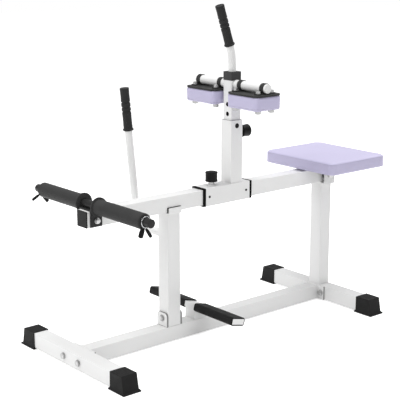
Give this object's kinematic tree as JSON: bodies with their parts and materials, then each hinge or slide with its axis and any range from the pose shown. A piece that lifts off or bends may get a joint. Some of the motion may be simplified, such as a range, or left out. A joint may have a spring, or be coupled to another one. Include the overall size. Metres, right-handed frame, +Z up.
{
  "type": "seated calf raise machine",
  "caption": "Floor-standing seated calf raise machine with a hinged lever, seat, sliding height-set thigh pads, footrest and weight bar held by spring clips.",
  "frame": {"origin": "centre of the bounding box in plan, on the floor", "axes": "+Z up; +Y from the weight bar towards the seat, along the lever; +X to the right as seen from the weight bar"},
  "size_m": [0.594, 1.2416, 1.073],
  "materials": {
    "white_powder_coat": "gloss white powder coat",
    "black_rubber": "matte",
    "black_plastic": "satin",
    "black_painted_steel": "semi-gloss",
    "zinc_steel": "bright zinc plate",
    "chrome_wire": "polished",
    "lavender_vinyl": "soft vinyl"
  },
  "bodies": {
    "base": {"front_foot": "white_powder_coat", "rear_foot": "white_powder_coat", "front_foot_bolt_left": "zinc_steel", "front_foot_bolt_right": "zinc_steel", "rear_foot_bolt_left": "zinc_steel", "rear_foot_bolt_right": "zinc_steel", "front_cap_left": "black_rubber", "front_cap_right": "black_rubber", "rear_cap_left": "black_rubber", "rear_cap_right": "black_rubber", "spine": "white_powder_coat", "front_post": "white_powder_coat", "cradle_liner": "black_rubber", "front_post_bolt": "zinc_steel", "side_handle": "white_powder_coat", "side_grip": "black_rubber", "footrest_bar": "white_powder_coat", "footrest_sleeve_left": "black_rubber", "footrest_sleeve_right": "black_rubber", "rear_post": "white_powder_coat", "pivot_bolt": "zinc_steel", "pivot_bush_left": "black_plastic", "pivot_bush_right": "black_plastic"},
    "lever": {"beam": "white_powder_coat", "beam_plug": "black_plastic", "weight_bracket": "black_painted_steel", "weight_bar": "black_painted_steel", "weight_bracket_bolt": "zinc_steel", "seat_plate": "black_plastic", "seat_cushion": "lavender_vinyl"},
    "disc_sleeve_left": {"disc_sleeve_left": "black_plastic"},
    "disc_sleeve_right": {"disc_sleeve_right": "black_plastic"},
    "spring_clip_left": {"spring_clip_left": "chrome_wire"},
    "spring_clip_right": {"spring_clip_right": "chrome_wire"},
    "carriage": {"carriage": "white_powder_coat", "carriage_trim_front": "black_plastic", "carriage_trim_rear": "black_plastic", "carriage_screw_front": "black_painted_steel", "carriage_screw_rear": "black_painted_steel", "carriage_pin_barrel": "zinc_steel", "upright_pin_barrel": "zinc_steel"},
    "carriage_knob": {"carriage_pull_knob": "black_plastic"},
    "upright_knob": {"upright_pull_knob": "black_plastic"},
    "height_post": {"height_post": "white_powder_coat", "height_post_cap": "black_plastic", "upper_handle": "white_powder_coat", "upper_grip": "black_rubber", "cross_tube": "white_powder_coat"},
    "thigh_pad_left": {"pad_carrier_left": "black_painted_steel", "thigh_cushion_left": "lavender_vinyl", "pad_bolt_left_1": "zinc_steel", "pad_bolt_left_2": "zinc_steel", "pad_bolt_left_3": "zinc_steel", "pad_bolt_left_4": "zinc_steel"},
    "thigh_pad_right": {"pad_carrier_right": "black_painted_steel", "thigh_cushion_right": "lavender_vinyl", "pad_bolt_right_1": "zinc_steel", "pad_bolt_right_2": "zinc_steel", "pad_bolt_right_3": "zinc_steel", "pad_bolt_right_4": "zinc_steel"}
  },
  "joints": [
    {"name": "lever_pivot", "type": "hinge", "parent": "base", "child": "lever", "pos_m": [0, 0.46625, 0.46], "axis": [-1, 0, 0], "range_deg": [0, 20]},
    {"name": "carriage_slide", "type": "slide", "parent": "lever", "child": "carriage", "axis": [0, 1, 0], "range_m": [0, 0.12]},
    {"name": "height_slide", "type": "slide", "parent": "carriage", "child": "height_post", "axis": [0, 0, 1], "range_m": [-0.0945, 0.0315]},
    {"name": "carriage_knob_pull", "type": "slide", "parent": "carriage", "child": "carriage_knob", "axis": [0, 0, 1], "range_m": [0, 0.009], "stiffness_N_per_m": 400, "springref_m": -0.004},
    {"name": "upright_knob_pull", "type": "slide", "parent": "carriage", "child": "upright_knob", "axis": [0, 1, 0], "range_m": [0, 0.009], "stiffness_N_per_m": 400, "springref_m": -0.004},
    {"name": "thigh_pad_left_swivel", "type": "hinge", "parent": "height_post", "child": "thigh_pad_left", "pos_m": [-0.1036, 0.03725, 0.815], "axis": [1, 0, 0], "range_deg": [-30, 30]},
    {"name": "thigh_pad_right_swivel", "type": "hinge", "parent": "height_post", "child": "thigh_pad_right", "pos_m": [0.1036, 0.03725, 0.815], "axis": [1, 0, 0], "range_deg": [-30, 30]},
    {"name": "disc_sleeve_left_spin", "type": "hinge", "parent": "lever", "child": "disc_sleeve_left", "pos_m": [-0.1505, -0.52515, 0.4987], "axis": [1, 0, 0], "continuous": true},
    {"name": "disc_sleeve_right_spin", "type": "hinge", "parent": "lever", "child": "disc_sleeve_right", "pos_m": [0.1505, -0.52515, 0.4987], "axis": [1, 0, 0], "continuous": true},
    {"name": "spring_clip_left_slide", "type": "slide", "parent": "lever", "child": "spring_clip_left", "axis": [-1, 0, 0], "range_m": [0, 0.06]},
    {"name": "spring_clip_right_slide", "type": "slide", "parent": "lever", "child": "spring_clip_right", "axis": [1, 0, 0], "range_m": [0, 0.06]}
  ]
}
